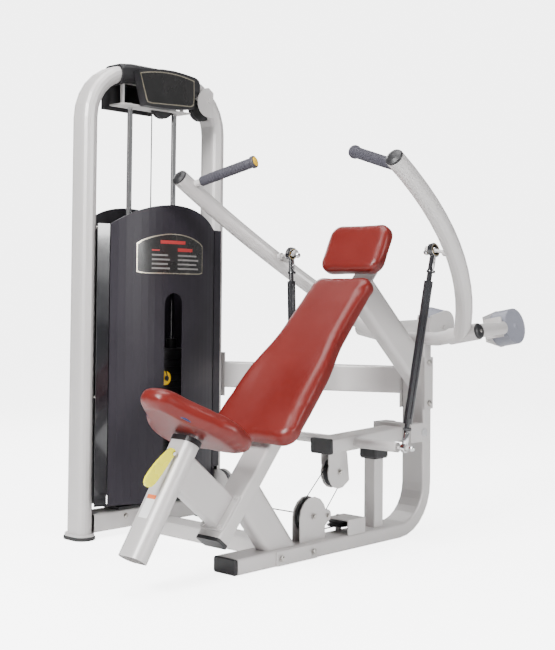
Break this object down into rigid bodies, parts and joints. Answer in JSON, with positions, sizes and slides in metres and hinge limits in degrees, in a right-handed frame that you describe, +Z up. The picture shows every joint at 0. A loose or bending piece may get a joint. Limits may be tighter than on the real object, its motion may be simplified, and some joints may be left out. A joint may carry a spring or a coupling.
{
  "type": "pec deck machine",
  "caption": "Seated press machine with an inclined padded seat, two converging arms on link rods, and a shrouded selector weight stack.",
  "frame": {"origin": "on the floor under the middle of the machine's bounding box", "axes": "+X to the left of the seated user, -Y the way the user faces, +Z up"},
  "size_m": [1.3926, 1.7876, 1.707],
  "materials": {
    "frame_paint": "satin metallic silver-grey paint",
    "black_plastic": "satin",
    "foot_rubber": "matt",
    "chrome": "polished",
    "black_paint": "gloss",
    "shroud_paint": "satin",
    "gloss_black": "gloss",
    "weight_iron": "painted black",
    "cable_jacket": "gloss",
    "leatherette": "satin",
    "yellow_plastic": "gloss",
    "grip_rubber": "matt, ribbed",
    "counterweight_paint": "satin"
  },
  "bodies": {
    "frame": {"main_frame_tube": "frame_paint", "main_frame_cap": "black_plastic", "pivot_cross_tube": "frame_paint", "back_support_tube": "frame_paint", "inclined_post_tube": "frame_paint", "inclined_post_cap": "black_plastic", "front_leg_tube": "frame_paint", "seat_arm_tube": "frame_paint", "floor_cross_tube": "frame_paint", "beam_clamp_plate": "frame_paint", "brace_clamp_plate": "frame_paint", "mid_brace_tube": "frame_paint", "bumper_block": "black_plastic", "lever_pivot_pin": "chrome", "tower_arch_tube": "frame_paint", "tower_base_tube": "frame_paint", "tower_front_foot": "foot_rubber", "tower_rear_foot": "foot_rubber", "guide_rod_front": "chrome", "guide_rod_rear": "chrome", "head_cover": "black_plastic", "shroud_front": "shroud_paint", "shroud_rear": "shroud_paint", "side_cover_front": "gloss_black", "side_cover_rear": "shroud_paint", "stack_base": "weight_iron", "corner_pulley_cover": "frame_paint", "lower_weight_plates": "weight_iron", "seat_sleeve_tube": "frame_paint", "seat_sleeve_collar": "black_plastic", "back_pad": "leatherette", "head_pad": "leatherette", "cable_main_run": "cable_jacket", "cable_lever_loop": "cable_jacket"},
    "weight_stack": {"stack_top_plate": "weight_iron", "lifted_weight_plates": "weight_iron", "cable_stack_run": "cable_jacket"},
    "selector": {"selector_pin": "yellow_plastic"},
    "lever": {"press_lever": "frame_paint", "press_lever_cap": "black_plastic"},
    "rod_left": {"link_rod_left": "black_paint"},
    "rod_right": {"link_rod_right": "black_paint"},
    "press_arm_left": {"arm_left": "frame_paint", "arm_cap_left": "black_plastic", "grip_left": "grip_rubber", "counterweight_left": "counterweight_paint"},
    "press_arm_right": {"arm_right": "frame_paint", "arm_cap_right": "black_plastic", "grip_right": "grip_rubber", "counterweight_right": "counterweight_paint"},
    "head_wheel": {"head_pulley": "black_plastic"},
    "corner_wheel": {"corner_pulley": "black_plastic"},
    "base_wheel": {"base_pulley": "black_plastic"},
    "turn_wheel": {"turn_pulley": "black_plastic"},
    "lower_wheel": {"lower_pulley": "black_plastic"},
    "lever_wheel": {"lever_pulley": "black_plastic"},
    "seat": {"seat_post": "chrome", "seat_pad": "leatherette"},
    "seat_release": {"seat_lever": "yellow_plastic"}
  },
  "joints": [
    {"name": "stack_lift", "type": "slide", "parent": "frame", "child": "weight_stack", "axis": [0, 0, 1], "range_m": [0, 0.28], "deforming": ["cable_stack_run", "cable_lever_loop"]},
    {"name": "pin_pull", "type": "slide", "parent": "weight_stack", "child": "selector", "axis": [1, 0, 0], "range_m": [0, 0.055]},
    {"name": "lever_pivot", "type": "hinge", "parent": "frame", "child": "lever", "pos_m": [0.18567, 0.40322, 0.373], "axis": [-1, 0, 0], "range_deg": [0, 24.6]},
    {"name": "arm_pivot_left", "type": "hinge", "parent": "frame", "child": "press_arm_left", "pos_m": [0.28067, 0.47622, 0.709], "axis": [-0.9833, 0, -0.1822], "range_deg": [0, 24.6]},
    {"name": "arm_pivot_right", "type": "hinge", "parent": "frame", "child": "press_arm_right", "pos_m": [0.09067, 0.47622, 0.709], "axis": [-0.9833, 0, 0.1822], "range_deg": [0, 24.6]},
    {"name": "rod_pivot_left", "type": "hinge", "parent": "lever", "child": "rod_left", "pos_m": [0.43567, 0.07522, 0.36], "axis": [-1, 0, 0], "range_deg": [-14.4, 0]},
    {"name": "rod_pivot_right", "type": "hinge", "parent": "lever", "child": "rod_right", "pos_m": [-0.06433, 0.07522, 0.36], "axis": [-1, 0, 0], "range_deg": [-14.4, 0]},
    {"name": "seat_height", "type": "slide", "parent": "frame", "child": "seat", "axis": [0, 0.5299, 0.848], "range_m": [0, 0.12]},
    {"name": "seat_release_pivot", "type": "hinge", "parent": "frame", "child": "seat_release", "pos_m": [0.18567, -0.73612, 0.39507], "axis": [-1, 0, 0], "range_deg": [0, 20], "stiffness_Nm_per_rad": 0.8, "springref_deg": -20.05},
    {"name": "head_pulley_spin", "type": "hinge", "parent": "frame", "child": "head_wheel", "pos_m": [-0.56033, -0.14078, 1.58], "axis": [-1, 0, 0], "range_deg": [0, 358.5]},
    {"name": "corner_pulley_spin", "type": "hinge", "parent": "frame", "child": "corner_wheel", "pos_m": [-0.56033, 0.05322, 1.592], "axis": [-1, 0, 0], "range_deg": [0, 358.5]},
    {"name": "base_pulley_spin", "type": "hinge", "parent": "frame", "child": "base_wheel", "pos_m": [-0.47633, 0.10722, 0.13], "axis": [0, -1, 0], "range_deg": [0, 310.5]},
    {"name": "turn_pulley_spin", "type": "hinge", "parent": "frame", "child": "turn_wheel", "pos_m": [0.15267, 0.07422, 0.078], "axis": [0, 0, -1], "range_deg": [0, 488.1]},
    {"name": "lower_pulley_spin", "type": "hinge", "parent": "frame", "child": "lower_wheel", "pos_m": [0.18567, -0.11378, 0.13], "axis": [-1, 0, 0], "range_deg": [0, 310.5]},
    {"name": "lever_pulley_spin", "type": "hinge", "parent": "lever", "child": "lever_wheel", "pos_m": [0.18567, 0.01922, 0.264], "axis": [-1, 0, 0], "range_deg": [0, 155.3]}
  ],
  "couplings": [
    {"joint": "lever_pivot", "follows": "stack_lift", "rad_per_m": 1.47},
    {"joint": "arm_pivot_left", "follows": "stack_lift", "rad_per_m": 1.47},
    {"joint": "arm_pivot_right", "follows": "stack_lift", "rad_per_m": 1.47},
    {"joint": "rod_pivot_left", "follows": "stack_lift", "rad_per_m": -0.8379},
    {"joint": "rod_pivot_right", "follows": "stack_lift", "rad_per_m": -0.8379},
    {"joint": "head_pulley_spin", "follows": "stack_lift", "rad_per_m": 22.222},
    {"joint": "corner_pulley_spin", "follows": "stack_lift", "rad_per_m": 22.222},
    {"joint": "base_pulley_spin", "follows": "stack_lift", "rad_per_m": 19.231},
    {"joint": "turn_pulley_spin", "follows": "stack_lift", "rad_per_m": 30.303},
    {"joint": "lower_pulley_spin", "follows": "stack_lift", "rad_per_m": 19.231},
    {"joint": "lever_pulley_spin", "follows": "stack_lift", "rad_per_m": 9.5556}
  ]
}
